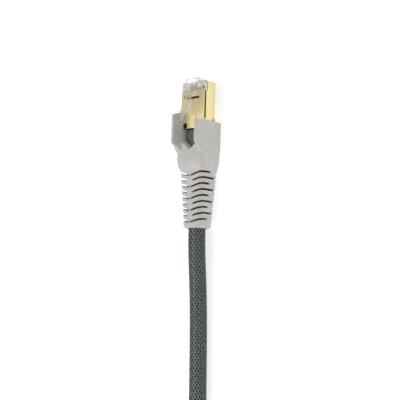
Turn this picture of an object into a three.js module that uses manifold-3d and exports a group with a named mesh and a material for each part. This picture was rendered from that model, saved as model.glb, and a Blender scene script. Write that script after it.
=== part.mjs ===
// A shielded eight-contact patch cable with a moulded boot on each plug, and its spare length in a tied hank.
// Millimetres, +Z up. The near plug points along +Y with its latch up, and its cord runs back along -Y.
// The origin is below the middle of the near plug and boot, on the surface that the cable lies on.
import * as THREE from "three";
import { mergeVertices } from "three/addons/utils/BufferGeometryUtils.js";
import Module from "manifold-3d";

const wasm = await Module();
wasm.setup();

// ---- Driving dimensions ----

const GAP = 0.3; // between pieces that touch on the real object
const SEAT = 0.15; // between the plug housing and the shield around it

// Distances called "front" and "back" are measured from the housing's front face towards the cord.
const FRONT_Y = 28.45;
const PLUG = {
  width: 11.7,
  thickness: 6.6,
  back: 18.5,
  latchFaceZ: 9.9,
  rootWidth: 6.5,
  rootFront: -1.1,
  rootBack: 0.6,
  hollowHalfWidth: 4.7,
};
const SHIELD = {
  wall: 0.3,
  back: 18.7,
  topFront: 4.1,
  slitEnd: 15.3,
  topEnd: 16.6,
  tabWidth: 5.4,
  slit: 0.9,
  frontCornerCut: 2.1,
  rearCornerCut: 1.3,
  bottomFront: 8,
};
const CROSS_SLOT = { halfWidth: 3.3, front: 6.1, back: 7.1 };
// A shallow ramp pressed out of the shield's latch side, narrow in front and wide behind.
const RAMP = { front: 7.6, back: 15.2, frontHalfWidth: 0.2, backHalfWidth: 2, frontRise: 0.05, backRise: 0.25 };
// A flare pressed out of each side of the shield, along its lower edge.
const FLARE = { front: 14.2, back: 15.5, height: 1, frontRise: 0.02, backRise: 0.75 };

const LEVER = { wideWidth: 6.1, tailWidth: 3.2, thickness: 1.0 };
// The lever's underside, as [back, height above the latch face]. The wide part ends at the third point.
const LEVER_LINE = [
  [1.0, 0.35],
  [1.9, 0.45],
  [6.6, 2.35],
  [12.6, 4.6],
  [16.2, 5.45],
  [18.0, 5.75],
];
const LEVER_WIDE_END = 2;

const CONTACT = { count: 8, pitch: 1.02, width: 0.35, slotWidth: 0.65, slotBack: 6.3, slotDepth: 2.1 };
const CONTACT_BOTTOM = 0.25; // above the plug's lower face
// A contact's outline, as [back, height above its lower edge], with two teeth that bite the conductor.
const CONTACT_LINE = [
  [0.9, 0.3],
  [1.3, 0],
  [5.3, 0],
  [5.3, 1.25],
  [4.7, 1.45],
  [4.1, 1.2],
  [3.5, 1.45],
  [2.9, 1.2],
  [0.9, 1.2],
];
// A flat sleeve around the row of conductors. Its heights are above the plug's lower face.
const GUIDE = { halfWidth: 4.5, front: 9, back: 13, bottom: 1.45, top: 3.2, sideWall: 0.3, wall: 0.25 };
const WIRE = { radius: 0.45, z: 5.6, sides: 6, level: 0.7, closing: 0.46 };
const CLAMP = { front: 19, back: 25.6, halfWidth: 3.9, halfHeight: 3.65, clearance: 0.25 };
const BARED = { front: 23, back: 26.4 };

const BOOT = {
  mouth: 15.9,
  plugSpaceBack: 19,
  clampSpaceFront: 18.8,
  clampSpaceBack: 25.9,
  end: 58,
  halfWidth: 7,
};
// The boot's sections, as [back, half width, bottom, top, corner radius, height of the ridge on top].
const BOOT_SECTIONS = [
  [BOOT.mouth, BOOT.halfWidth, 0, 10.9, 0.9, 0.5],
  [26.8, BOOT.halfWidth, 0, 10.9, 0.9, 0.5],
  [28, 6.8, 0, 11, 1, 0.5],
  [31.4, 6.7, 0, 11.25, 1, 0.5],
  [33.8, 6.55, 0, 11, 1.6, 0.5],
  [35.8, 6.3, 0, 10.3, 2.6, 0.4],
  [55.2, 5.1, 0, 9.7, 3.6, 0.1],
  [55.4, 5.2, 0, 9.9, 4.2, 0],
  [57.2, 5.2, 0, 9.9, 4.2, 0],
  [BOOT.end, 4.5, 0.7, 9.2, 4.0, 0],
];
const EAR = { footZ: 10.25, topZ: 15, innerX: 4.05, innerLean: 1.45, outerLean: 0.55 };
// How far back the front edge of each ear lies, at its foot and at its top.
const LONG_EAR_FRONT = [11.9, 13.2];
const SHORT_EAR_FRONT = [15.9, 16.4];
// The open channel between the ears, as [height, half width, back of its V-shaped end].
const CHANNEL_SECTIONS = [
  [7.3, 4.05, 26],
  [9.9, 4.05, 26.6],
  [16.9, 6.05, 30.6],
];
const CHANNEL_V_DEPTH = 3.4;
// The slots that let the boot bend with the cord, and the webs left between their two halves.
const RELIEF = {
  levels: 9,
  pitch: 2.28,
  first: 36.1,
  slot: 0.75,
  slope: 0.3,
  slopeEndX: 5,
  thinWeb: 0.6,
  wideWeb: 2.6,
  sideRib: 2.6,
};

const CABLE = { radius: 3.4, jacketRadius: 2.9, z: 4.95, sides: 12 };
const BORE_RADIUS = 3.7;
// The spare cord lies in three long turns: two side by side, and the third in the groove between them.
const HANK = { middleX: -25, frontBendY: -137, straight: 53, bendRadius: 23.8 };
const HANK_BEVEL = 2.2;
const TIE = { width: 10, thickness: 0.9 };

// The near cord from the boot's collar to the hank, in hand-placed points.
const LEAD_ROUTE = [
  [0, -29.85, 4.95],
  [0, -34, 4.93],
  [0.12, -42, 4.5],
  [0.42, -52, 3.85],
  [0.85, -64, 3.5],
  [1.3, -78, 3.45],
  [1.75, -94, 3.45],
  [2.1, -106, 3.45],
  [2.2, -117.4, 3.45],
];
// The far plug lies on the hank's +X run and points along -Y, and its cord crosses the hank's front bend.
const FAR_STRAIGHT = 5;
const TAIL_START_DEGREES = 104;

// ---- Values that follow from them ----

const hankHalfAcross = 2 * CABLE.radius;
const hankTop = CABLE.radius * (2 + Math.sqrt(3));
const collarEndY = FRONT_Y - BOOT.end;
const farX = HANK.middleX + HANK.bendRadius;
const farY = HANK.frontBendY - FAR_STRAIGHT + collarEndY;
const farRestZ = hankTop + 0.4;
const plugHalf = PLUG.width / 2;
const plugTop = PLUG.latchFaceZ;
const plugBottom = plugTop - PLUG.thickness;
const shieldInside = plugHalf - SHIELD.wall;

// The Y coordinate of a distance behind the housing's front face.
const at = (back) => FRONT_Y - back;

// ---- Materials ----

function finish(color, roughness, metalness, opacity = 1) {
  return new THREE.MeshStandardMaterial({
    color,
    roughness,
    metalness,
    opacity,
    transparent: opacity < 1,
  });
}

const clearPlastic = finish(0xdde0e0, 0.12, 0, 0.4);
const goldPlate = finish(0xd9cb98, 0.25, 0.9);
const contactGold = finish(0xe0b84e, 0.2, 1);
const bootGrey = finish(0xbebdb8, 0.55, 0);
const clampGrey = finish(0x676a63, 0.5, 0);
const jacketBlack = finish(0x1c1d1f, 0.6, 0);
const sleeveGrey = finish(0x6e7576, 0.45, 0.1);
const guidePlastic = finish(0xe8e8e4, 0.3, 0, 0.6);
const tieBlack = finish(0x17181a, 0.85, 0);
const wireColours = [
  ["white_orange", 0xf0c9a0],
  ["orange", 0xe07818],
  ["white_green", 0xc6e0c0],
  ["blue", 0x2a55b8],
  ["white_blue", 0xbccbe8],
  ["green", 0x2c8a3c],
  ["white_brown", 0xd8c4b0],
  ["brown", 0x6b4226],
];

// ---- Solids ----

// A three.js geometry as a manifold-3d solid, with its shared vertices merged.
function solid(geometry) {
  const bare = geometry.clone();
  bare.deleteAttribute("normal");
  bare.deleteAttribute("uv");
  const merged = mergeVertices(bare, 1e-4);
  return new wasm.Manifold(
    new wasm.Mesh({
      numProp: 3,
      vertProperties: new Float32Array(merged.attributes.position.array),
      triVerts: new Uint32Array(merged.index.array),
    }),
  );
}

// A manifold-3d solid as a three.js geometry with flat faces.
function geometryOf(made) {
  const mesh = made.getMesh();
  const geometry = new THREE.BufferGeometry();
  geometry.setAttribute(
    "position",
    new THREE.BufferAttribute(mesh.vertProperties, 3),
  );
  geometry.setIndex(new THREE.BufferAttribute(mesh.triVerts, 1));
  const flat = geometry.toNonIndexed();
  flat.computeVertexNormals();
  return flat;
}

// A box between two corners.
function block([x0, y0, z0], [x1, y1, z1]) {
  const box = new THREE.BoxGeometry(x1 - x0, y1 - y0, z1 - z0);
  box.translate((x0 + x1) / 2, (y0 + y1) / 2, (z0 + z1) / 2);
  return solid(box);
}

// A box centred on X = 0, between two distances back and two heights.
function slab(halfWidth, front, back, z0, z1) {
  return block([-halfWidth, at(back), z0], [halfWidth, at(front), z1]);
}

// A closed body through rings of equally many points, with its two ends capped by fans.
// Rings that run the other way round give faces that point inwards, so they are turned over.
function loft(rings) {
  const count = rings[0].length;
  const positions = rings.flat(2);
  const indices = [];
  for (let r = 0; r + 1 < rings.length; r++) {
    for (let i = 0; i < count; i++) {
      const a = r * count + i;
      const b = r * count + ((i + 1) % count);
      indices.push(a, b, a + count, b, b + count, a + count);
    }
  }
  const last = (rings.length - 1) * count;
  for (let i = 1; i + 1 < count; i++) {
    indices.push(0, i + 1, i, last, last + i, last + i + 1);
  }
  const geometry = new THREE.BufferGeometry();
  geometry.setAttribute(
    "position",
    new THREE.Float32BufferAttribute(positions, 3),
  );
  geometry.setIndex(indices);
  const made = solid(geometry);
  if (made.volume() > 0) {
    return made;
  }
  geometry.index.array.reverse();
  return solid(geometry);
}

// An outline of [back, height] points given a thickness along X.
function sidePlate(outline, halfWidth, x = 0) {
  const shape = new THREE.Shape(
    outline.map(([back, height]) => new THREE.Vector2(at(back), height)),
  );
  const plate = new THREE.ExtrudeGeometry(shape, {
    depth: 2 * halfWidth,
    bevelEnabled: false,
  });
  const alongX = new THREE.Vector3(1, 0, 0);
  const alongY = new THREE.Vector3(0, 1, 0);
  const alongZ = new THREE.Vector3(0, 0, 1);
  plate.applyMatrix4(new THREE.Matrix4().makeBasis(alongY, alongZ, alongX));
  plate.translate(x - halfWidth, 0, 0);
  return solid(plate);
}

// A straight cylinder along Y, on the cord's axis.
function rod(radius, sides, front, back) {
  const cylinder = new THREE.CylinderGeometry(radius, radius, back - front, sides);
  cylinder.translate(0, (at(front) + at(back)) / 2, CABLE.z);
  return solid(cylinder);
}

// A round rod with flat ends, along a smooth curve through the points.
function tube(points, radius, sides, steps) {
  const section = Array.from({ length: sides }, (_, i) => {
    const angle = (2 * Math.PI * (i + 0.5)) / sides;
    return new THREE.Vector2(radius * Math.cos(angle), radius * Math.sin(angle));
  });
  const route = new THREE.CatmullRomCurve3(
    points.map((point) => new THREE.Vector3(...point)),
  );
  const swept = new THREE.ExtrudeGeometry(new THREE.Shape(section), {
    steps,
    extrudePath: route,
  });
  return solid(swept);
}

function union(first, ...others) {
  return others.reduce((whole, other) => whole.add(other), first);
}

function cut(whole, ...cutters) {
  return cutters.reduce((rest, cutter) => rest.subtract(cutter), whole);
}

// Both mirror images of a piece that lies on the +X side.
function bothSides(piece) {
  return [piece, piece.mirror([1, 0, 0])];
}

// ---- Plug ----

// The X coordinates of the eight contacts and conductors.
const rowX = Array.from(
  { length: CONTACT.count },
  (_, i) => (i - (CONTACT.count - 1) / 2) * CONTACT.pitch,
);

// The moulded plug body: open slots for the contacts, and a hollow for the conductors.
function housing() {
  const inner = shieldInside - SEAT;
  const floor = plugBottom + SHIELD.wall + SEAT;
  const roof = plugTop - SHIELD.wall - SEAT;
  const noseFoot = plugTop - SHIELD.frontCornerCut + GAP;
  const body = union(
    slab(inner, 0, PLUG.back, floor, roof),
    slab(plugHalf, 0, SHIELD.topFront - GAP, noseFoot, plugTop),
    slab(inner, 0, SHIELD.bottomFront - GAP, plugBottom, floor + 0.2),
    slab(PLUG.rootWidth / 2, PLUG.rootFront, PLUG.rootBack, plugTop - 1, plugTop + 1),
  );
  const slots = rowX.map((x) =>
    block(
      [x - CONTACT.slotWidth / 2, at(CONTACT.slotBack), plugBottom - 1],
      [x + CONTACT.slotWidth / 2, at(-0.1), plugBottom + CONTACT.slotDepth],
    ),
  );
  const half = PLUG.hollowHalfWidth;
  const rowHollow = slab(half, 3, 16, plugBottom + 1.3, plugBottom + 3.6);
  const rearHollow = slab(half, 15, PLUG.back + 1, plugBottom + 0.75, plugBottom + 5.3);
  return cut(body, ...slots, rowHollow, rearHollow);
}

function lever() {
  const strip = (line, width) => {
    const under = line.map(([back, height]) => [back, plugTop + height]);
    const over = under.map(([back, height]) => [back, height + LEVER.thickness]);
    return sidePlate([...under, ...over.reverse()], width / 2);
  };
  const wide = strip(LEVER_LINE.slice(0, LEVER_WIDE_END + 1), LEVER.wideWidth);
  const tail = strip(LEVER_LINE.slice(1), LEVER.tailWidth);
  return union(wide, tail);
}

// The folded sheet around the plug, with its openings cut and its ramp and flares pressed out.
function shield() {
  const { wall, back, topFront, slitEnd, topEnd, bottomFront } = SHIELD;
  const outside = slab(plugHalf, 0.1, back, plugBottom, plugTop);
  const inside = slab(shieldInside, -1, back + 1, plugBottom + wall, plugTop - wall);
  const past = plugHalf + 1;
  const noseFoot = plugTop - SHIELD.frontCornerCut;
  const noseOpening = slab(past, -1, topFront, noseFoot, plugTop + 1);
  const contactOpening = slab(shieldInside, -1, bottomFront, plugBottom - 1, plugBottom + 1);
  const slits = bothSides(
    block(
      [shieldInside - 0.5, at(slitEnd), plugTop - wall - SHIELD.slit],
      [past, at(topFront - 1), plugTop - wall],
    ),
  );
  const rearCorners = bothSides(
    block(
      [SHIELD.tabWidth / 2, at(back + 1), plugTop - SHIELD.rearCornerCut],
      [past, at(topEnd), plugTop + 1],
    ),
  );
  const crossSlot = slab(
    CROSS_SLOT.halfWidth,
    CROSS_SLOT.front,
    CROSS_SLOT.back,
    plugTop - 1,
    plugTop + 1,
  );
  const shell = cut(
    outside,
    inside,
    noseOpening,
    contactOpening,
    ...slits,
    ...rearCorners,
    crossSlot,
  );
  return union(shell, ramp(), ...bothSides(flare()));
}

function ramp() {
  const foot = plugTop - 0.2;
  const section = (back, halfWidth, rise) => [
    [-halfWidth, at(back), foot],
    [halfWidth, at(back), foot],
    [halfWidth, at(back), plugTop + rise],
    [-halfWidth, at(back), plugTop + rise],
  ];
  return loft([
    section(RAMP.front, RAMP.frontHalfWidth, RAMP.frontRise),
    section(RAMP.back, RAMP.backHalfWidth, RAMP.backRise),
  ]);
}

function flare() {
  const root = plugHalf - 0.2;
  const section = (back, rise) => [
    [root, at(back), plugBottom],
    [plugHalf + rise, at(back), plugBottom],
    [plugHalf + rise, at(back), plugBottom + FLARE.height],
    [root, at(back), plugBottom + FLARE.height],
  ];
  return loft([
    section(FLARE.front, FLARE.frontRise),
    section(FLARE.back, FLARE.backRise),
  ]);
}

function contact(x) {
  const bottom = plugBottom + CONTACT_BOTTOM;
  const outline = CONTACT_LINE.map(([back, height]) => [back, bottom + height]);
  return sidePlate(outline, CONTACT.width / 2, x);
}

function wireGuide() {
  const { halfWidth, front, back, bottom, top, sideWall, wall } = GUIDE;
  const sleeve = slab(halfWidth, front, back, plugBottom + bottom, plugBottom + top);
  const window = slab(
    halfWidth - sideWall,
    front - 1,
    back + 1,
    plugBottom + bottom + wall,
    plugBottom + top - wall,
  );
  return cut(sleeve, window);
}

// A conductor, from its contact back through the guide and into the end of the jacket,
// where the row closes up and every second conductor lies above its neighbours.
function wire(i) {
  const x = rowX[i];
  const endZ = CABLE.z + (i % 2 === 0 ? -WIRE.level : WIRE.level);
  const closed = (share) => x * (1 - WIRE.closing * share);
  const route = [
    [x, at(3.4), WIRE.z],
    [x, at(14.4), WIRE.z],
    [closed(0.5), at(17.2), (WIRE.z + endZ) / 2],
    [closed(1), at(22.6), endZ],
  ];
  return tube(route, WIRE.radius, WIRE.sides, 7);
}

// ---- Cable end inside the boot ----

function cableClamp() {
  const { front, back, halfWidth, halfHeight, clearance } = CLAMP;
  const body = slab(halfWidth, front, back, CABLE.z - halfHeight, CABLE.z + halfHeight);
  return cut(body, rod(CABLE.jacketRadius + clearance, 20, front - 1, back + 1));
}

// The end of the jacket, bared of its sleeve inside the clamp and covered from there on.
function jacketEnd() {
  const bared = rod(CABLE.jacketRadius, 16, BARED.front, BARED.back);
  const covered = rod(CABLE.radius, 16, BARED.back - 0.1, BOOT.end);
  return union(bared, covered);
}

// ---- Boot ----

// A rounded rectangle across the boot, with a low ridge on its latch side.
function bootRing([back, halfWidth, bottom, top, radius, ridge]) {
  const corners = [
    [halfWidth - radius, bottom + radius, -90],
    [halfWidth - radius, top - radius, 0],
    [-halfWidth + radius, top - radius, 90],
    [-halfWidth + radius, bottom + radius, 180],
  ];
  const arcs = corners.map(([x, z, start]) =>
    Array.from({ length: 5 }, (_, step) => {
      const angle = THREE.MathUtils.degToRad(start + step * 22.5);
      return [x + radius * Math.cos(angle), at(back), z + radius * Math.sin(angle)];
    }),
  );
  const ridgePoint = [0, at(back), top + ridge];
  return [...arcs[0], ...arcs[1], ridgePoint, ...arcs[2], ...arcs[3]];
}

// One ear: a fin that leans inwards, from its front edge to its sloping back.
function ear(side, [frontFoot, frontTop]) {
  const { footZ, topZ, innerX, innerLean, outerLean } = EAR;
  const section = (backFoot, backTop, height) => {
    const share = (height - footZ) / (topZ - footZ);
    return [
      [side * innerX, at(backFoot), footZ],
      [side * BOOT.halfWidth, at(backFoot), footZ],
      [side * (BOOT.halfWidth - outerLean * share), at(backTop), height],
      [side * (innerX + innerLean * share), at(backTop), height],
    ];
  };
  return loft([
    section(frontFoot, frontTop, topZ - 0.5),
    section(frontFoot + 0.4, frontTop + 0.5, topZ),
    section(24.6, 24.9, topZ - 0.15),
    section(26.2, 26.3, topZ - 2.4),
    section(28.3, 28.2, footZ + 0.9),
  ]);
}

function channel() {
  const ring = ([height, halfWidth, end]) => [
    [-halfWidth, at(11), height],
    [halfWidth, at(11), height],
    [halfWidth, at(end - CHANNEL_V_DEPTH), height],
    [0, at(end), height],
    [-halfWidth, at(end - CHANNEL_V_DEPTH), height],
  ];
  return loft(CHANNEL_SECTIONS.map(ring));
}

// A relief slot on the +X side: a thin plate that slopes back towards the middle of the boot.
function reliefSlot(back, web, bottom, top) {
  const { slot, slope, slopeEndX } = RELIEF;
  const ring = (x) => {
    const middle = back + slope * (slopeEndX - Math.min(x, slopeEndX));
    return [
      [x, at(middle + slot / 2), bottom],
      [x, at(middle - slot / 2), bottom],
      [x, at(middle - slot / 2), top],
      [x, at(middle + slot / 2), top],
    ];
  };
  return loft([ring(web / 2), ring(slopeEndX), ring(BOOT.halfWidth + 1)]);
}

// Slots with a thin web stop at a rib along the boot's side. Those between them run right through it.
function reliefSlots() {
  const below = -1;
  const above = 13;
  const levels = Array.from({ length: RELIEF.levels }, (_, level) => {
    const back = RELIEF.first + level * RELIEF.pitch;
    if (level % 2 === 1) {
      return [reliefSlot(back, RELIEF.wideWeb, below, above)];
    }
    return [
      reliefSlot(back, RELIEF.thinWeb, CABLE.z, above),
      reliefSlot(back, RELIEF.thinWeb, below, CABLE.z - RELIEF.sideRib),
    ];
  });
  return levels.flat().flatMap(bothSides);
}

function boot() {
  const plugSpace = slab(
    plugHalf + GAP,
    BOOT.mouth - 1,
    BOOT.plugSpaceBack,
    plugBottom - GAP,
    plugTop + GAP,
  );
  const clampSpace = slab(
    CLAMP.halfWidth + GAP,
    BOOT.clampSpaceFront,
    BOOT.clampSpaceBack,
    CABLE.z - CLAMP.halfHeight - GAP,
    CABLE.z + CLAMP.halfHeight + GAP,
  );
  const shell = cut(loft(BOOT_SECTIONS.map(bootRing)), plugSpace, clampSpace, channel());
  const ears = [ear(-1, LONG_EAR_FRONT), ear(1, SHORT_EAR_FRONT)];
  const bore = rod(BORE_RADIUS, 20, 25, BOOT.end + 1);
  return cut(union(shell, ...ears), bore, ...reliefSlots());
}

// ---- Cord, hank and tie ----

function cordLead() {
  return tube(LEAD_ROUTE, CABLE.radius, CABLE.sides, 7);
}

// A long loop with round ends, at one distance from the middle of the hank's turns.
function hankOutline(offset, Path) {
  const radius = HANK.bendRadius + offset;
  const outline = new Path();
  outline.absarc(0, 0, radius, 0, Math.PI, false);
  outline.absarc(0, -HANK.straight, radius, Math.PI, 2 * Math.PI, false);
  outline.closePath();
  return outline;
}

// The outer shape of the turns as one plain ring with bevelled edges.
function hankRing() {
  const inset = hankHalfAcross - HANK_BEVEL;
  const outline = hankOutline(inset, THREE.Shape);
  outline.holes.push(hankOutline(-inset, THREE.Path));
  const ring = new THREE.ExtrudeGeometry(outline, {
    depth: hankTop - 2 * HANK_BEVEL,
    bevelThickness: HANK_BEVEL,
    bevelSize: HANK_BEVEL,
    bevelSegments: 2,
    curveSegments: 16,
  });
  ring.translate(0, 0, HANK_BEVEL);
  return solid(ring);
}

// A block of the hank's section across its -X run, grown by an amount on every side.
function tieBlock(grow, width) {
  const x = -HANK.bendRadius;
  const y = -HANK.straight / 2;
  const half = hankHalfAcross + grow;
  return block(
    [x - half, y - width / 2, -grow],
    [x + half, y + width / 2, hankTop + grow],
  );
}

function hank() {
  const wide = TIE.width + 2 * GAP;
  const groove = cut(tieBlock(2, wide), tieBlock(-TIE.thickness - GAP, wide + 2));
  return cut(hankRing(), groove);
}

function tie() {
  return cut(tieBlock(0, TIE.width), tieBlock(-TIE.thickness, TIE.width + 2));
}

// The cord's last bend, over the front of the hank and into the far plug's boot.
function cordTail() {
  const { middleX, frontBendY, bendRadius } = HANK;
  const axisZ = farRestZ + CABLE.z;
  const startZ = hankTop + CABLE.radius + GAP;
  const bend = Array.from({ length: 7 }, (_, step) => {
    const share = step / 6;
    const angle = THREE.MathUtils.degToRad(TAIL_START_DEGREES * (1 - share));
    return [
      middleX + bendRadius * Math.cos(angle),
      frontBendY + bendRadius * Math.sin(angle),
      startZ + (axisZ - startZ) * Math.sin((share * Math.PI) / 2),
    ];
  });
  const boreMouth = [farX, farY - collarEndY + GAP, axisZ];
  return tube([...bend, boreMouth], CABLE.radius, CABLE.sides, 6);
}

// ---- Assembly ----

const group = new THREE.Group();
group.name = "patch_cable";

function add(parent, name, made, material) {
  const mesh = new THREE.Mesh(geometryOf(made), material);
  mesh.name = name;
  parent.add(mesh);
}

function connector(prefix, x, y, z, turn) {
  const end = new THREE.Group();
  end.position.set(x, y, z);
  end.rotation.z = turn;
  add(end, prefix + "_plug_housing", housing(), clearPlastic);
  add(end, prefix + "_latch_lever", lever(), clearPlastic);
  add(end, prefix + "_shield", shield(), goldPlate);
  rowX.forEach((rowPlace, i) => {
    add(end, `${prefix}_contact_${i + 1}`, contact(rowPlace), contactGold);
  });
  add(end, prefix + "_wire_guide", wireGuide(), guidePlastic);
  wireColours.forEach(([colour, value], i) => {
    const insulation = finish(value, 0.5, 0);
    add(end, `${prefix}_wire_${colour}`, wire(i), insulation);
  });
  add(end, prefix + "_cable_clamp", cableClamp(), clampGrey);
  add(end, prefix + "_jacket_end", jacketEnd(), jacketBlack);
  add(end, prefix + "_boot", boot(), bootGrey);
  group.add(end);
}

connector("near", 0, 0, 0, 0);
connector("far", farX, farY, farRestZ, Math.PI);

const stored = new THREE.Group();
stored.position.set(HANK.middleX, HANK.frontBendY, 0);
add(stored, "cord_hank", hank(), sleeveGrey);
add(stored, "hank_tie", tie(), tieBlack);
group.add(stored);
add(group, "cord_lead", cordLead(), sleeveGrey);
add(group, "cord_tail", cordTail(), sleeveGrey);

export default group;
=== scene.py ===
"""The looks of a braided patch cable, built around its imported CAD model.

Metres, +Z up, in the CAD frame: the near plug points along +Y with its latch up, and the
cable lies on a floor at Z = 0.
"""

import math

import bmesh
import bpy
import numpy as np
from mathutils import Matrix, Vector


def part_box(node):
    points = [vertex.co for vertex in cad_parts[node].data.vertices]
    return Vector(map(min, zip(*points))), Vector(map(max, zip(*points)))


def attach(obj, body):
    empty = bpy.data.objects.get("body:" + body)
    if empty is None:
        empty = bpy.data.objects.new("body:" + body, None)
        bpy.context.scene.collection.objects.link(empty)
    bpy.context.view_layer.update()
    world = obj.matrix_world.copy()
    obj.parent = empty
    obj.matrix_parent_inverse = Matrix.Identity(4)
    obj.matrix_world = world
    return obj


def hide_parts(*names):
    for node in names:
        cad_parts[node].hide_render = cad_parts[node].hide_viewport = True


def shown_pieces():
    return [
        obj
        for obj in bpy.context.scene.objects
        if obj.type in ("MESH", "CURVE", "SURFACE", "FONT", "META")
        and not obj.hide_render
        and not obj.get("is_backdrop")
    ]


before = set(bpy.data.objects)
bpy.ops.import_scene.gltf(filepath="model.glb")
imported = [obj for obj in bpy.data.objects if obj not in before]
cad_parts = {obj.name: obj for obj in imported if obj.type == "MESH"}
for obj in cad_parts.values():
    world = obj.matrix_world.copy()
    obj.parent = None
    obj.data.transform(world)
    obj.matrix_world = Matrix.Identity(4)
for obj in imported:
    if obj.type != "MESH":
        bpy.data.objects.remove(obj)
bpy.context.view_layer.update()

MM = 0.001

# ---- Driving dimensions ----

CORD_RADIUS = 3.4 * MM
JACKET_RADIUS = 2.86 * MM
# The uncoiled cord between the near boot's collar and the hank, as in part.mjs.
LEAD_ROUTE = [
    (0, -0.02985, 0.00495),
    (0, -0.034, 0.00493),
    (0.00012, -0.042, 0.0045),
    (0.00042, -0.052, 0.00385),
    (0.00085, -0.064, 0.0035),
    (0.0013, -0.078, 0.00345),
    (0.00175, -0.094, 0.00345),
    (0.0021, -0.106, 0.00345),
    (0.0022, -0.1174, 0.00345),
]
CLAMP_TO_LATCH_FACE = 1.3 * MM
SHIELD_SETBACK = 0.1 * MM  # from the plug's front face to the shield's front edge

# Both plugs share one shape: the far one is the near one turned half round and moved.
near_low, near_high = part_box("near_boot")
far_low, far_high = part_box("far_boot")
FAR_PLACE = Matrix.Translation(
    (
        (far_low[0] + far_high[0]) / 2,
        far_low[1] + near_high[1],
        far_low[2] - near_low[2],
    )
) @ Matrix.Rotation(math.pi, 4, "Z")
ENDS = {"near": Matrix.Identity(4), "far": FAR_PLACE}

plug_low, plug_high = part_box("near_shield")
PLUG_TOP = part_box("near_cable_clamp")[1][2] + CLAMP_TO_LATCH_FACE
PLUG_BOTTOM = plug_low[2]
PLUG_FRONT = plug_high[1] + SHIELD_SETBACK
HALF_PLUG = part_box("near_plug_housing")[1][0]
BOOT_AXIS_Z = LEAD_ROUTE[0][2]


def behind(back, height=0.0, x=0.0):
    """A point, in millimetres behind the plug's front, above its latch face and along X."""
    return Vector((x * MM, PLUG_FRONT - back * MM, PLUG_TOP + height * MM))


# ---- Meshes ----

MERGE_DISTANCE = 0.002 * MM
FLAT_ANGLE = math.radians(1)
EDGE_ANGLE = math.radians(25)
SMOOTH_UP_TO = math.radians(40)
ROD_SMOOTH_UP_TO = math.radians(50)


def add_object(name, data, material):
    """A linked object whose first material is the given one."""
    piece = bpy.data.objects.new(name, data)
    bpy.context.collection.objects.link(piece)
    if len(data.materials):
        data.materials[0] = material
    else:
        data.materials.append(material)
    return piece


def grid_mesh(name, points, faces):
    """A mesh of four-sided faces from arrays."""
    mesh = bpy.data.meshes.new(name)
    mesh.vertices.add(len(points))
    mesh.vertices.foreach_set("co", np.asarray(points, np.float32).ravel())
    mesh.loops.add(4 * len(faces))
    mesh.loops.foreach_set("vertex_index", np.asarray(faces, np.int32).ravel())
    mesh.polygons.add(len(faces))
    mesh.polygons.foreach_set("loop_start", np.arange(len(faces), dtype=np.int32) * 4)
    mesh.update(calc_edges=True)
    mesh.shade_smooth()
    return mesh


def loft(name, rings):
    """A skin over rings of equally many points, with flat ends."""
    made = bmesh.new()
    rows = [[made.verts.new(point) for point in ring] for ring in rings]
    count = len(rows[0])
    for row, following in zip(rows, rows[1:]):
        for i in range(count):
            j = (i + 1) % count
            made.faces.new((row[i], row[j], following[j], following[i]))
    made.faces.new(list(reversed(rows[0])))
    made.faces.new(rows[-1])
    bmesh.ops.recalc_face_normals(made, faces=made.faces)
    mesh = bpy.data.meshes.new(name)
    made.to_mesh(mesh)
    made.free()
    return mesh


def shaped(name, mesh, modifiers):
    """The mesh after a list of (modifier type, settings)."""
    holder = bpy.data.objects.new(name, mesh)
    bpy.context.collection.objects.link(holder)
    for kind, settings in modifiers:
        modifier = holder.modifiers.new(kind, kind)
        for key, value in settings.items():
            setattr(modifier, key, value)
    graph = bpy.context.evaluated_depsgraph_get()
    result = bpy.data.meshes.new_from_object(holder.evaluated_get(graph))
    result.name = name
    bpy.data.objects.remove(holder)
    return result


def softened(node, voxel, rounds):
    """A finely remeshed and relaxed copy of a CAD node, with the soft edges of a moulding."""
    remesh = {"mode": "VOXEL", "voxel_size": voxel}
    relax = {"factor": 0.5, "iterations": rounds}
    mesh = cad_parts[node].data.copy()
    result = shaped(node + "_soft", mesh, [("REMESH", remesh), ("SMOOTH", relax)])
    result.shade_smooth()
    return result


def eased(node, width, segments=2):
    """A copy of a CAD node with its sharp edges rounded."""
    made = bmesh.new()
    made.from_mesh(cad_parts[node].data)
    bmesh.ops.remove_doubles(made, verts=made.verts, dist=MERGE_DISTANCE)
    bmesh.ops.dissolve_limit(
        made, angle_limit=FLAT_ANGLE, verts=made.verts, edges=made.edges
    )
    sharp = [
        edge
        for edge in made.edges
        if edge.is_manifold and edge.calc_face_angle() > EDGE_ANGLE
    ]
    bmesh.ops.bevel(
        made,
        geom=sharp,
        offset=width,
        segments=segments,
        profile=0.5,
        affect="EDGES",
        clamp_overlap=True,
    )
    mesh = bpy.data.meshes.new(node + "_eased")
    made.to_mesh(mesh)
    made.free()
    mesh.shade_smooth()
    mesh.set_sharp_from_angle(angle=SMOOTH_UP_TO)
    return mesh


def at_both_ends(part, mesh, material, body="root"):
    """One mesh as a piece of each plug, in place of that plug's CAD node."""
    for end, place in ENDS.items():
        node = f"{end}_{part}"
        piece = add_object(node + "_look", mesh, material)
        piece.matrix_world = place
        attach(piece, body if body == "root" else f"{end}_{body}")
        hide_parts(node)


# ---- Materials ----

COLOUR_FROM, COLOUR_TO = 0.35, 0.65  # the noise values between which the colour changes


def node_of(tree, kind, inputs=None, **settings):
    """A shader node with its inputs linked or set."""
    made = tree.nodes.new(kind)
    for key, value in settings.items():
        setattr(made, key, value)
    for key, value in (inputs or {}).items():
        if isinstance(value, bpy.types.NodeSocket):
            tree.links.new(value, made.inputs[key])
        else:
            made.inputs[key].default_value = value
    return made


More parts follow.
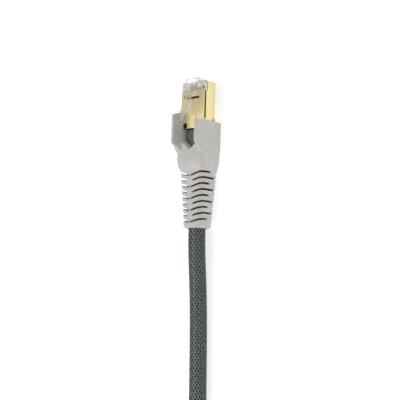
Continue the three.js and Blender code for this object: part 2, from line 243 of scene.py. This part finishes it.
def srgb(red, green, blue):
    """A colour from its 0 to 255 values on a screen."""
    linear = [
        c / 3294.6 if c <= 10 else ((c / 255 + 0.055) / 1.055) ** 2.4
        for c in (red, green, blue)
    ]
    return (*linear, 1.0)


def mottled(name, dark, light, scale, rough, bump, shader, stretch=(1, 1, 1)):
    """A material whose colour, roughness and relief all vary with fine noise.

    dark and light are the colours it runs between, scale is in grains per metre, rough is the
    lowest and highest roughness, and bump is (strength, depth, grains per metre).
    """
    made = bpy.data.materials.new(name)
    made.use_nodes = True
    tree = made.node_tree
    tree.nodes.clear()
    place = node_of(tree, "ShaderNodeTexCoord").outputs["Object"]
    spread = node_of(
        tree, "ShaderNodeMapping", {"Vector": place, "Scale": stretch}
    ).outputs["Vector"]
    broad = node_of(
        tree, "ShaderNodeTexNoise", {"Vector": spread, "Scale": scale, "Detail": 4.0}
    ).outputs["Fac"]
    ramp = node_of(tree, "ShaderNodeValToRGB", {"Fac": broad})
    ramp.color_ramp.elements[0].position = COLOUR_FROM
    ramp.color_ramp.elements[0].color = dark
    ramp.color_ramp.elements[1].position = COLOUR_TO
    ramp.color_ramp.elements[1].color = light
    gloss = node_of(
        tree,
        "ShaderNodeMapRange",
        {"Value": broad, "To Min": rough[0], "To Max": rough[1]},
    ).outputs["Result"]
    strength, depth, grain = bump
    fine = node_of(
        tree, "ShaderNodeTexNoise", {"Vector": spread, "Scale": grain, "Detail": 6.0}
    ).outputs["Fac"]
    relief = node_of(
        tree,
        "ShaderNodeBump",
        {"Height": fine, "Strength": strength, "Distance": depth},
    ).outputs["Normal"]
    body = node_of(
        tree,
        "ShaderNodeBsdfPrincipled",
        {
            "Base Color": ramp.outputs["Color"],
            "Roughness": gloss,
            "Normal": relief,
            **shader,
        },
    )
    node_of(tree, "ShaderNodeOutputMaterial", {"Surface": body.outputs["BSDF"]})
    return made


WIRE_COLOURS = {
    "orange": srgb(226, 122, 28),
    "green": srgb(44, 138, 60),
    "blue": srgb(42, 85, 184),
    "brown": srgb(107, 66, 38),
}
WIRE_WHITE = srgb(240, 239, 234)
FADE = (0.85, 0.03)  # the paler tone of a wire's colour: a share of it, and some white
BAND_SCALE = 90.0  # a band about every 3.5 mm
BAND_EDGE = (0.7, 0.8)  # the wave's values between which white turns to the colour

boot_grey = mottled(
    "boot_grey",
    srgb(192, 189, 186),
    srgb(199, 196, 193),
    260,
    (0.42, 0.55),
    (0.25, 0.00003, 9000),
    {"Subsurface Weight": 0.08, "Subsurface Scale": 0.0006},
)
clear_plastic = mottled(
    "clear_plastic",
    (0.93, 0.945, 0.95, 1),
    (0.97, 0.975, 0.98, 1),
    300,
    (0.03, 0.09),
    (0.12, 0.00003, 900),
    {"Transmission Weight": 1.0, "IOR": 1.5, "Alpha": 0.72},
)
lever_clear = mottled(
    "lever_clear",
    (0.93, 0.93, 0.97, 1),
    (0.98, 0.98, 1.0, 1),
    300,
    (0.03, 0.08),
    (0.1, 0.00003, 900),
    {"Transmission Weight": 1.0, "IOR": 1.45, "Alpha": 0.45},
)
# Near-black painted shade for the shield's inner faces and for the boxes under its slits, where
# the plug's inside lies in shade.
shield_painted_shade = mottled(
    "shield_painted_shade",
    (0.012, 0.011, 0.006, 1),
    (0.03, 0.028, 0.018, 1),
    600,
    (0.5, 0.65),
    (0.2, 0.00002, 5000),
    {},
)
# Dark grey painted shade for the deep insides of the boot's relief slots.
boot_shade = mottled(
    "boot_shade",
    srgb(52, 50, 47),
    srgb(66, 64, 60),
    260,
    (0.6, 0.75),
    (0.25, 0.00003, 9000),
    {},
)
gold_plate = mottled(
    "gold_plate",
    srgb(232, 217, 162),
    srgb(243, 231, 185),
    420,
    (0.46, 0.56),
    (0.12, 0.00002, 5200),
    {"Metallic": 1.0},
    stretch=(1, 0.12, 1),
)
contact_gold = mottled(
    "contact_gold",
    srgb(214, 170, 80),
    srgb(232, 192, 104),
    900,
    (0.14, 0.24),
    (0.1, 0.00002, 8000),
    {"Metallic": 1.0},
)
# The clamp's dark grey is painted shade, matched to the shaded recess behind the shield between
# the boot's ears.
clamp_grey = mottled(
    "clamp_grey",
    srgb(92, 95, 88),
    srgb(106, 109, 101),
    500,
    (0.42, 0.58),
    (0.35, 0.00004, 7000),
    {},
)
jacket_black = mottled(
    "jacket_black",
    (0.008, 0.008, 0.009, 1),
    (0.014, 0.014, 0.015, 1),
    700,
    (0.5, 0.7),
    (0.3, 0.00004, 6000),
    {},
)
filament = mottled(
    "filament",
    srgb(74, 78, 80),
    srgb(124, 130, 132),
    1500,
    (0.26, 0.42),
    (0.35, 0.00003, 16000),
    {"Specular IOR Level": 0.6},
)
guide_plastic = mottled(
    "guide_plastic",
    (0.78, 0.78, 0.76, 1),
    (0.86, 0.86, 0.84, 1),
    500,
    (0.25, 0.4),
    (0.2, 0.00003, 4000),
    {"Transmission Weight": 0.35, "IOR": 1.46},
)
strap_black = mottled(
    "strap_black",
    (0.006, 0.006, 0.007, 1),
    (0.03, 0.03, 0.032, 1),
    3500,
    (0.8, 0.95),
    (0.9, 0.0002, 5200),
    {"Sheen Weight": 0.5, "Sheen Roughness": 0.4},
)
floor_white = mottled(
    "floor_white",
    (0.5, 0.5, 0.5, 1),
    (0.52, 0.52, 0.52, 1),
    30,
    (0.75, 0.85),
    (0.05, 0.0001, 300),
    {"Emission Color": (1, 1, 1, 1), "Emission Strength": 0.68},
)


def insulation(colour, striped):
    """A wire's coloured skin. A striped one has bands of its colour and of white."""
    plain = WIRE_COLOURS[colour]
    share, added = FADE
    faded = (*(share * channel + added for channel in plain[:3]), 1)
    made = mottled(
        "insulation_" + colour,
        plain,
        faded,
        900,
        (0.3, 0.42),
        (0.15, 0.00002, 6000),
        {"Specular IOR Level": 0.5},
    )
    if not striped:
        return made
    made.name = "insulation_white_" + colour
    tree = made.node_tree
    body = next(n for n in tree.nodes if n.type == "BSDF_PRINCIPLED")
    ramp = next(n for n in tree.nodes if n.type == "VALTORGB")
    place = next(n for n in tree.nodes if n.type == "TEX_COORD").outputs["Object"]
    bands = node_of(
        tree,
        "ShaderNodeTexWave",
        {"Vector": place, "Scale": BAND_SCALE, "Distortion": 1.2},
        bands_direction="Y",
    ).outputs["Fac"]
    start, end = BAND_EDGE
    edge = node_of(
        tree, "ShaderNodeMapRange", {"Value": bands, "From Min": start, "From Max": end}
    ).outputs["Result"]
    mixed = node_of(tree, "ShaderNodeMix", {"Factor": edge}, data_type="RGBA")
    # A mix node has one set of sockets for each data type, and these are the colour ones.
    first, second, result = mixed.inputs[6], mixed.inputs[7], mixed.outputs[2]
    first.default_value = WIRE_WHITE
    tree.links.new(ramp.outputs["Color"], second)
    tree.links.new(result, body.inputs["Base Color"])
    return made


# ---- The cord's route ----


def smooth_step(share):
    """From 0 to 1 with a level start and end."""
    share = min(max(share, 0.0), 1.0)
    return share * share * (3 - 2 * share)


def catmull_rom(points, steps):
    """Points along a smooth curve through the given ones."""
    p = [2 * points[0] - points[1], *points, 2 * points[-1] - points[-2]]
    out = []
    for a, b, c, d in zip(p, p[1:], p[2:], p[3:]):
        for k in range(steps):
            t = k / steps
            out.append(
                0.5
                * (
                    2 * b
                    + (c - a) * t
                    + (2 * a - 5 * b + 4 * c - d) * t**2
                    + (3 * b - a - 3 * c + d) * t**3
                )
            )
    return [*out, points[-1]]


hank_low, hank_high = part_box("cord_hank")
HANK_X = (hank_low[0] + hank_high[0]) / 2
MID_TURN = (hank_high[0] - hank_low[0]) / 2 - 2 * CORD_RADIUS
OUTER_TURN = MID_TURN + CORD_RADIUS
INNER_TURN = MID_TURN - CORD_RADIUS
FRONT_BEND_Y = hank_high[1] - MID_TURN - 2 * CORD_RADIUS
REAR_BEND_Y = hank_low[1] + MID_TURN + 2 * CORD_RADIUS
LAYER_Z = CORD_RADIUS
GROOVE_Z = CORD_RADIUS * (1 + math.sqrt(3))
FAR_AXIS_Z = FAR_PLACE.translation.z + BOOT_AXIS_Z
FAR_COLLAR_Y = far_high[1]
REAR_STEPS = 24
FRONT_STEPS = 32
CURVE_STEPS = 6  # between two points of a smooth curve


def long_turn(radius, z):
    """Down the hank's +X side, round its rear and back up its -X side."""
    out = [Vector((HANK_X + radius, FRONT_BEND_Y, z))]
    for k in range(REAR_STEPS + 1):
        angle = -math.pi * k / REAR_STEPS
        x = HANK_X + radius * math.cos(angle)
        out.append(Vector((x, REAR_BEND_Y + radius * math.sin(angle), z)))
    return out


def front_bend(radius_at, z_at):
    """Round the hank's front, with its radius and height given for each share of the way."""
    out = []
    for k in range(FRONT_STEPS + 1):
        share = k / FRONT_STEPS
        angle = math.pi * (1 - share)
        radius = radius_at(share)
        x = HANK_X + radius * math.cos(angle)
        out.append(Vector((x, FRONT_BEND_Y + radius * math.sin(angle), z_at(share))))
    return out


CLIMB_BEFORE = 20 * MM  # a turn starts to climb this far before the front bend
CLIMB_AFTER = 26 * MM  # and is up this far round it
SETTLE_FROM = 0.7  # the share of the front bend where the third turn sinks into its groove
LEVEL_FROM = 0.25  # and where the last bend starts towards the far plug's height


def climbed(distance):
    """The share of a climb that is done at a distance past the start of the front bend."""
    return smooth_step((distance + CLIMB_BEFORE) / (CLIMB_BEFORE + CLIMB_AFTER))


def run_up(radius, z, rise):
    """The end of the -X run, up to the front bend, where the cord starts to climb."""
    steps = 8
    out = []
    for k in range(steps):
        distance = CLIMB_BEFORE * (k / steps - 1)
        height = z + rise * climbed(distance)
        out.append(Vector((HANK_X - radius, FRONT_BEND_Y + distance, height)))
    return out


def cord_route():
    """The whole free cord: the lead, three long turns, and the bend into the far plug."""
    lead = catmull_rom([Vector(p) for p in LEAD_ROUTE], CURVE_STEPS)
    hump = 2 * CORD_RADIUS

    def inwards(share):
        return OUTER_TURN + (INNER_TURN - OUTER_TURN) * smooth_step(share)

    def onto_groove(share):
        return INNER_TURN + (MID_TURN - INNER_TURN) * smooth_step(share)

    def second_height(share):
        sunk = smooth_step((share - SETTLE_FROM) / (1 - SETTLE_FROM))
        settle = (LAYER_Z + hump - GROOVE_Z) * sunk
        return LAYER_Z + hump * climbed(share * math.pi * INNER_TURN) - settle

    def third_height(share):
        low = GROOVE_Z + (second_top - GROOVE_Z) * climbed(share * math.pi * MID_TURN)
        levelled = smooth_step((share - LEVEL_FROM) / (1 - LEVEL_FROM))
        return low + (FAR_AXIS_Z - second_top) * levelled

    second_top = LAYER_Z + 2 * hump
    route = lead
    route += long_turn(OUTER_TURN, LAYER_Z)
    route += front_bend(inwards, lambda share: LAYER_Z)
    route += long_turn(INNER_TURN, LAYER_Z)[1:]
    route += run_up(INNER_TURN, LAYER_Z, hump)
    route += front_bend(onto_groove, second_height)
    route += long_turn(MID_TURN, GROOVE_Z)[1:]
    route += run_up(MID_TURN, GROOVE_Z, second_top - GROOVE_Z)
    route += front_bend(lambda share: MID_TURN, third_height)
    route.append(Vector((HANK_X + MID_TURN, FAR_COLLAR_Y, FAR_AXIS_Z)))
    return route


RELAX_LENGTH = 2.5 * MM
SAME_POINT = 1e-6


def spaced(points, step):
    """Points at equal distances along a line of points, relaxed so that no corner is left."""
    line = np.array([tuple(p) for p in points])
    keep = np.append(True, np.linalg.norm(np.diff(line, axis=0), axis=1) > SAME_POINT)
    line = line[keep]
    far = np.append(0, np.cumsum(np.linalg.norm(np.diff(line, axis=0), axis=1)))
    places = np.linspace(0, far[-1], int(far[-1] / step) + 1)
    line = np.stack([np.interp(places, far, line[:, k]) for k in range(3)], 1)
    for _ in range(int((RELAX_LENGTH / step) ** 2)):
        line[1:-1] += 0.25 * (line[:-2] - 2 * line[1:-1] + line[2:])
    return line


def frames_along(line):
    """Unit tangents and two cross directions that don't twist along the line."""
    tangent = np.gradient(line, axis=0)
    tangent /= np.linalg.norm(tangent, axis=1)[:, None]
    side = np.zeros_like(line)
    side[0] = np.cross(tangent[0], (0, 0, 1))
    for k in range(1, len(line)):
        carried = side[k - 1] - tangent[k] * (side[k - 1] @ tangent[k])
        side[k] = carried / np.linalg.norm(carried)
    return tangent, side, np.cross(side, tangent)


# ---- Braided sleeve ----

STRANDS = 16  # in each direction
DIAMOND_LENGTH = 2.15 * MM
STRAND_WIDTH = 0.54 * MM
STRAND_THICKNESS = 0.22 * MM
WEAVE = 0.15 * MM  # how far a strand swings in and out
BRAID_RADIUS = CORD_RADIUS - WEAVE - STRAND_THICKNESS / 2
LAY_LENGTH = STRANDS * DIAMOND_LENGTH


def ribbed_section(ribs):
    """A flat strand's cross-section: a row of filaments above, and a plain underside."""
    half = STRAND_WIDTH / 2
    top = []
    for k in range(ribs):
        left = -half + 2 * half * k / ribs
        wide = 2 * half / ribs
        top += [
            (left + 0.04 * wide, 0.1 * STRAND_THICKNESS),
            (left + 0.5 * wide, 0.5 * STRAND_THICKNESS),
        ]
    top.append((half, 0.0))
    low = -0.5 * STRAND_THICKNESS
    return [*top, (0.5 * half, low), (-0.5 * half, low)]


def plain_section():
    """A flat strand's cross-section with as few corners as a distant one needs."""
    half = STRAND_WIDTH / 2
    thick = STRAND_THICKNESS / 2
    return [(-half, 0), (-0.4 * half, thick), (0.4 * half, thick), (half, 0), (0, -thick)]


def braid(name, line, start, end, step, section):
    """Both sets of strands over one stretch of the cord, each over two and under two others."""
    far = np.append(0, np.cumsum(np.linalg.norm(np.diff(line, axis=0), axis=1)))
    cross = frames_along(line)
    places = np.linspace(start, end, int((end - start) / step) + 1)
    centre, tangent, side, up = (
        np.stack([np.interp(places, far, values[:, k]) for k in range(3)], 1)
        for values in (line, *cross)
    )
    u, v = np.array(section).T
    strands = []
    for way in (1, -1):
        for k in range(STRANDS):
            crossing = 2 * STRANDS * places / LAY_LENGTH
            angle = way * 2 * math.pi * places / LAY_LENGTH + 2 * math.pi * k / STRANDS
            swing = way * np.cos(math.pi / 2 * (2 * k + way * crossing - 0.5))
            outward = np.cos(angle)[:, None] * side + np.sin(angle)[:, None] * up
            around = np.cos(angle)[:, None] * up - np.sin(angle)[:, None] * side
            slope = way * 2 * math.pi * BRAID_RADIUS / LAY_LENGTH
            across = around - slope * tangent
            across /= np.linalg.norm(across, axis=1)[:, None]
            middle = centre + (BRAID_RADIUS + WEAVE * swing)[:, None] * outward
            strands.append(
                middle[:, None]
                + u[None, :, None] * across[:, None]
                + v[None, :, None] * outward[:, None]
            )
    points = np.array(strands)
    _, rows, columns, _ = points.shape
    row, column = np.meshgrid(np.arange(rows - 1), np.arange(columns), indexing="ij")
    following = (column + 1) % columns
    one = np.stack(
        [
            row * columns + column,
            row * columns + following,
            (row + 1) * columns + following,
            (row + 1) * columns + column,
        ],
        -1,
    ).reshape(-1, 4)
    faces = np.concatenate([one + k * rows * columns for k in range(len(strands))])
    return add_object(name, grid_mesh(name, points.reshape(-1, 3), faces), filament)


# ---- The cord ----

ROUTE_STEP = 0.5 * MM
route = spaced(cord_route(), ROUTE_STEP)
IN_BOOT = 24 * MM  # how far the sleeve runs on inside each boot
near_inside = route[0] + np.array((0, IN_BOOT, 0))
far_inside = route[-1] - np.array((0, IN_BOOT, 0))
sleeve_line = spaced([near_inside, *route, far_inside], ROUTE_STEP)
route_length = float(np.linalg.norm(np.diff(route, axis=0), axis=1).sum())


def jacket(name, line):
    """The black jacket under the sleeve, as a round curve."""
    curve = bpy.data.curves.new(name, "CURVE")
    curve.dimensions = "3D"
    curve.bevel_depth = JACKET_RADIUS
    curve.bevel_resolution = 4
    curve.use_fill_caps = True
    spline = curve.splines.new("POLY")
    spline.points.add(len(line) - 1)
    spline.points.foreach_set("co", np.c_[line, np.ones(len(line))].ravel())
    return add_object(name, curve, jacket_black)


cord = jacket("cord_jacket", route[::2])
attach(cord, "root")
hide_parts("cord_lead", "cord_tail", "cord_hank")

CROSSING = DIAMOND_LENGTH / 2
FINE_STEP = CROSSING / 3.5
PLAIN_STEP = CROSSING / 2
PLAIN_STRETCHES = 4
total = IN_BOOT + route_length + IN_BOOT
IN_SIGHT = IN_BOOT + 76 * MM  # where the strands with filaments end
stretches = [("sleeve_lead", 0.0, IN_SIGHT, FINE_STEP, ribbed_section(3))]
edges = np.linspace(IN_SIGHT, total, PLAIN_STRETCHES + 1)
for number, (start, end) in enumerate(zip(edges, edges[1:]), 1):
    stretches.append((f"sleeve_hank_{number}", start, end, PLAIN_STEP, plain_section()))
for name, start, end, step, section in stretches:
    sleeve = braid(name, sleeve_line, start, end, step, section)
    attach(sleeve, "root")

# ---- Camera, floor and lights ----

CAMERA_LENS = 84.6
CAMERA_PLACE = (0.24331, -0.06138, 0.27922)
CAMERA_AXES = (
    (0.75157793, 0.0316699, -0.65888363),  # to the right
    (0.05352929, 0.99262449, 0.10877149),  # up
    (0.65746881, -0.11701983, 0.74433939),  # backwards
)
camera_data = bpy.data.cameras.new("camera")
camera_data.lens = CAMERA_LENS
camera_data.sensor_width = 36
camera_data.clip_start = 0.01
camera_data.clip_end = 20
camera = bpy.data.objects.new("camera", camera_data)
bpy.context.collection.objects.link(camera)
turned = Matrix(CAMERA_AXES).transposed().to_4x4()
camera.matrix_world = Matrix.Translation(CAMERA_PLACE) @ turned
bpy.context.scene.camera = camera

LIT_POINT = Vector((0, -0.03, 0))
FLOOR_SIZE = 6
WORLD_WHITE = (1, 1, 1, 1)
WORLD_STRENGTH = 0.53


def area_light(name, place, size, watts):
    """A white disk that faces the boot."""
    data = bpy.data.lights.new(name, "AREA")
    data.shape = "DISK"
    data.size = size
    data.energy = watts
    light = bpy.data.objects.new(name, data)
    light.location = place
    toward = LIT_POINT - Vector(place)
    light.rotation_euler = toward.to_track_quat("-Z", "Y").to_euler()
    bpy.context.collection.objects.link(light)


area_light("key", (-0.34, -0.4, 0.76), 0.8, 4.2)
area_light("fill", (0.6, -0.1, 0.6), 0.5, 0.7)

world = bpy.data.worlds.new("studio")
world.use_nodes = True
background = world.node_tree.nodes["Background"]
background.inputs["Color"].default_value = WORLD_WHITE
background.inputs["Strength"].default_value = WORLD_STRENGTH
bpy.context.scene.world = world
bpy.context.scene.view_settings.view_transform = "Standard"

bpy.ops.mesh.primitive_plane_add(size=FLOOR_SIZE, location=(0, 0, 0))
floor = bpy.context.object
floor.name = "floor"
floor.data.materials.append(floor_white)
floor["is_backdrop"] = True

# ---- Plugs and boots ----


def two_tone(mesh, second, wanted):
    """A second material on the faces whose centre meets a test. The first slot stays free."""
    mesh.materials.clear()
    mesh.materials.append(None)
    mesh.materials.append(second)
    for face in mesh.polygons:
        face.material_index = int(wanted(face.center))
    return mesh


# The boot's half width, top and corner radius at a few distances behind the plug's front.
BOOT_BACK = (34, 35.8, 55.2, 56)
BOOT_HALF = (6.5, 6.3, 5.1, 5.2)
BOOT_TOP = (11.0, 10.3, 9.7, 9.9)
BOOT_CORNER = (1.6, 2.6, 3.6, 4.2)
# Faces this deep in the relief slots get boot_shade, a painted shade.
SHADE_DEPTH = 0.8  # how far below the boot's skin its slots are in shade
SHADE_FROM = 35
SHADE_UNTIL = 55


def in_relief_slot(centre):
    """Whether a point lies well below the boot's rounded skin, in the stretch with the slots,
    where painted shade goes.
    """
    back = (PLUG_FRONT - centre.y) / MM
    if not SHADE_FROM < back < SHADE_UNTIL:
        return False
    half, top, corner = (
        float(np.interp(back, BOOT_BACK, row)) for row in (BOOT_HALF, BOOT_TOP, BOOT_CORNER)
    )
    across = abs(centre.x) / MM - (half - corner)
    height = abs(centre.z / MM - top / 2) - (top / 2 - corner)
    past_corner = math.hypot(max(across, 0), max(height, 0))
    depth = corner - past_corner - min(max(across, height), 0)
    return depth > SHADE_DEPTH


SHIELD_WALL = 0.3 * MM


def painted_shade_inside_shield(centre):
    """Whether a point of the shield lies on its inner faces, which are painted near-black as
    shade.
    """
    skin = 0.9 * SHIELD_WALL
    return (
        abs(centre.x) < HALF_PLUG - skin
        and PLUG_BOTTOM + skin < centre.z < PLUG_TOP - skin
    )


def joined(name, meshes):
    """Several meshes as one."""
    made = bmesh.new()
    for mesh in meshes:
        made.from_mesh(mesh)
    whole = bpy.data.meshes.new(name)
    made.to_mesh(whole)
    made.free()
    whole.shade_smooth()
    return whole


def round_rod(name, points, radius, sides):
    """A rod with a round section along a line of points."""
    line = np.array([tuple(p) for p in points])
    _, side, up = frames_along(line)
    rings = []
    for centre, a, b in zip(line, side, up):
        angles = [2 * math.pi * k / sides for k in range(sides)]
        rings.append([centre + radius * (math.cos(t) * a + math.sin(t) * b) for t in angles])
    mesh = loft(name, rings)
    mesh.shade_smooth()
    mesh.set_sharp_from_angle(angle=ROD_SMOOTH_UP_TO)
    return mesh


LIP_RADIUS = 0.17 * MM
LIP_SIDES = 8
LIP_STATIONS = (4.3, 9.8, 15.2)  # behind the plug's front
LIP_HEIGHTS = (-1.32, -0.2)  # above the latch face, on either side of a slit
LIP_INSET = 0.02


def slit_lips():
    """The rolled edges of the sheet along both slits of the shield."""
    rods = []
    for side in (1, -1):
        x = side * (HALF_PLUG / MM - LIP_INSET)
        for height in LIP_HEIGHTS:
            line = [behind(back, height, x) for back in LIP_STATIONS]
            rods.append(round_rod("lip", line, LIP_RADIUS, LIP_SIDES))
    return rods


def painted_shade_box(low, high):
    """A box of painted shade between two corners, each given as (back, height above the latch
    face, x).
    """
    a, b = behind(*low), behind(*high)
    rings = [
        [(a.x, y, a.z), (b.x, y, a.z), (b.x, y, b.z), (a.x, y, b.z)] for y in (b.y, a.y)
    ]
    return two_tone(loft("shade_band", rings), shield_painted_shade, lambda centre: True)


# Where the boxes of painted shade sit: under the cross slot, and inset from each side under the
# slits.
CROSS_SLOT_SHADE = ((5.7, -0.42, -3.7), (7.5, -0.34, 3.7))
SIDE_SHADE_INSET = 0.42
SIDE_SHADE_THICKNESS = 0.08


def shade_bands():
    """Near-black boxes of painted shade under the slits and the cross slot, so that these show
    dark.
    """
    inner = HALF_PLUG / MM - SIDE_SHADE_INSET
    outer = inner + SIDE_SHADE_THICKNESS
    shade_boxes = [painted_shade_box(*CROSS_SLOT_SHADE)]
    for side in (1, -1):
        shade_boxes.append(painted_shade_box((4.2, -1.5, side * inner), (15.5, -0.25, side * outer)))
    return shade_boxes


def shield_look():
    """The folded sheet with its lips and boxes of painted shade, gold outside and painted
    near-black shade inside.
    """
    sheet = two_tone(eased("near_shield", 0.1 * MM), shield_painted_shade, painted_shade_inside_shield)
    whole = joined("shield_look", [sheet, *slit_lips(), *shade_bands()])
    whole.materials.append(None)
    whole.materials.append(shield_painted_shade)
    return whole


# The deep faces of the relief slots take boot_shade, painted shade.
moulded_boot = two_tone(softened("near_boot", 0.2 * MM, 3), boot_shade, in_relief_slot)
at_both_ends("boot", moulded_boot, boot_grey)
at_both_ends("plug_housing", eased("near_plug_housing", 0.12 * MM), clear_plastic)
at_both_ends("shield", shield_look(), gold_plate)
at_both_ends("latch_lever", eased("near_latch_lever", 0.2 * MM, 3), lever_clear, "lever")
at_both_ends("cable_clamp", eased("near_cable_clamp", 0.4 * MM, 3), clamp_grey)
at_both_ends("wire_guide", eased("near_wire_guide", 0.08 * MM), guide_plastic)
CONTACTS = 8
for number in range(1, CONTACTS + 1):
    part = f"contact_{number}"
    at_both_ends(part, eased("near_" + part, 0.05 * MM), contact_gold)

# The jacket's cut end, inside the clamp and boot.
JACKET_STATIONS = (23, 23.15, 57.9)
JACKET_SIDES = 40
cut_end = [behind(back) for back in JACKET_STATIONS]
for point in cut_end:
    point.z = BOOT_AXIS_Z
jacket_rod = round_rod("jacket_end", cut_end, JACKET_RADIUS, JACKET_SIDES)
at_both_ends("jacket_end", jacket_rod, jacket_black)

# The conductors, in the order of the contacts that they run to.
WIRE_ORDER = (
    ("orange", True),
    ("orange", False),
    ("green", True),
    ("blue", False),
    ("blue", True),
    ("green", False),
    ("brown", True),
    ("brown", False),
)
WIRE_RADIUS = 0.45 * MM
CONTACT_PITCH = 1.02
WIRE_Z = 5.6 * MM
WIRE_LEVEL = 0.7 * MM
WIRE_CLOSING = 0.46
WIRE_SIDES = 14
# Distances behind the plug's front, with the share of the closing-up that is done there.
WIRE_STATIONS = ((3.4, 0), (9, 0), (14.4, 0), (17.2, 0.5), (22.6, 1))


def wire_route(number):
    """From its contact back into the clamp, where every second wire lies above the others."""
    x = (number - (CONTACTS - 1) / 2) * CONTACT_PITCH
    end_z = BOOT_AXIS_Z + (WIRE_LEVEL if number % 2 else -WIRE_LEVEL)
    points = []
    for back, share in WIRE_STATIONS:
        point = behind(back, 0, x * (1 - WIRE_CLOSING * share))
        point.z = WIRE_Z + (end_z - WIRE_Z) * share
        points.append(point)
    return catmull_rom(points, CURVE_STEPS)


for number, (colour, striped) in enumerate(WIRE_ORDER):
    part = f"wire_white_{colour}" if striped else f"wire_{colour}"
    mesh = round_rod(part, wire_route(number), WIRE_RADIUS, WIRE_SIDES)
    at_both_ends(part, mesh, insulation(colour, striped))

# ---- The strap round the hank ----

STRAP_WIDTH = 10 * MM
# Distances from the cords' middles: it presses the sleeve down to the jacket.
STRAP_INNER = 2.9 * MM
STRAP_OUTER = 3.75 * MM
FLAP_OUTER = 4.4 * MM
ON_FLOOR = 0.02 * MM
# Directions in degrees round the hank, from +X up through +Z.
LOOP_SPAN = (-100, 259)
FLAP_SPAN = (75, 205)
FLAP_TIP = 28
STRAP_STEP = 5
NARROWEST = 0.2
EDGE_ROUNDING = 0.25
tie_low, tie_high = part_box("hank_tie")
TIE_X = (tie_low[0] + tie_high[0]) / 2
TIE_Y = (tie_low[1] + tie_high[1]) / 2


def strap_point(degrees, radius):
    """A point on the tight loop round the three cords, by the direction in which it faces."""
    around = degrees % 360
    if 30 <= around < 150:
        x, z = 0.0, GROOVE_Z
    elif 150 <= around < 270:
        x, z = -CORD_RADIUS, LAYER_Z
    else:
        x, z = CORD_RADIUS, LAYER_Z
    angle = math.radians(degrees)
    return x + radius * math.cos(angle), max(z + radius * math.sin(angle), ON_FLOOR)


def tip_share(left, tip):
    """How wide the strap is with that many degrees left before its end."""
    if left >= tip:
        return 1.0
    return max(math.sqrt(1 - (1 - left / tip) ** 2), NARROWEST)


def strap(name, span, inner, outer, tip=0.0):
    """A band of strap round the hank, between two directions, with an optional rounded tip."""
    start, end = span
    count = int((end - start) / STRAP_STEP)
    rings = []
    for k in range(count + 1):
        degrees = start + (end - start) * k / count
        half = STRAP_WIDTH / 2 * tip_share(end - degrees, tip)
        low_x, low_z = strap_point(degrees, inner)
        high_x, high_z = strap_point(degrees, outer)
        edge = EDGE_ROUNDING * (outer - inner)
        edge_x, edge_z = strap_point(degrees, outer - edge)
        section = (
            (low_x, low_z, -half),
            (low_x, low_z, half),
            (edge_x, edge_z, half),
            (high_x, high_z, half - edge),
            (high_x, high_z, edge - half),
            (edge_x, edge_z, -half),
        )
        rings.append([(TIE_X + x, TIE_Y + y, z) for x, z, y in section])
    mesh = loft(name, rings)
    mesh.shade_smooth()
    mesh.set_sharp_from_angle(angle=ROD_SMOOTH_UP_TO)
    return mesh


loop = strap("strap_loop", LOOP_SPAN, STRAP_INNER, STRAP_OUTER)
flap = strap("strap_flap", FLAP_SPAN, STRAP_OUTER, FLAP_OUTER, FLAP_TIP)
strap_piece = add_object("hank_tie_look", joined("hank_tie_look", [loop, flap]), strap_black)
strap_piece.data.set_sharp_from_angle(angle=ROD_SMOOTH_UP_TO)
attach(strap_piece, "root")
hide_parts("hank_tie")

# ---- What the cord carries ----

on_far_end = [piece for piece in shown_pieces() if piece.name.startswith("far_")]
on_far_end = [piece for piece in on_far_end if "_wire_" not in piece.name]
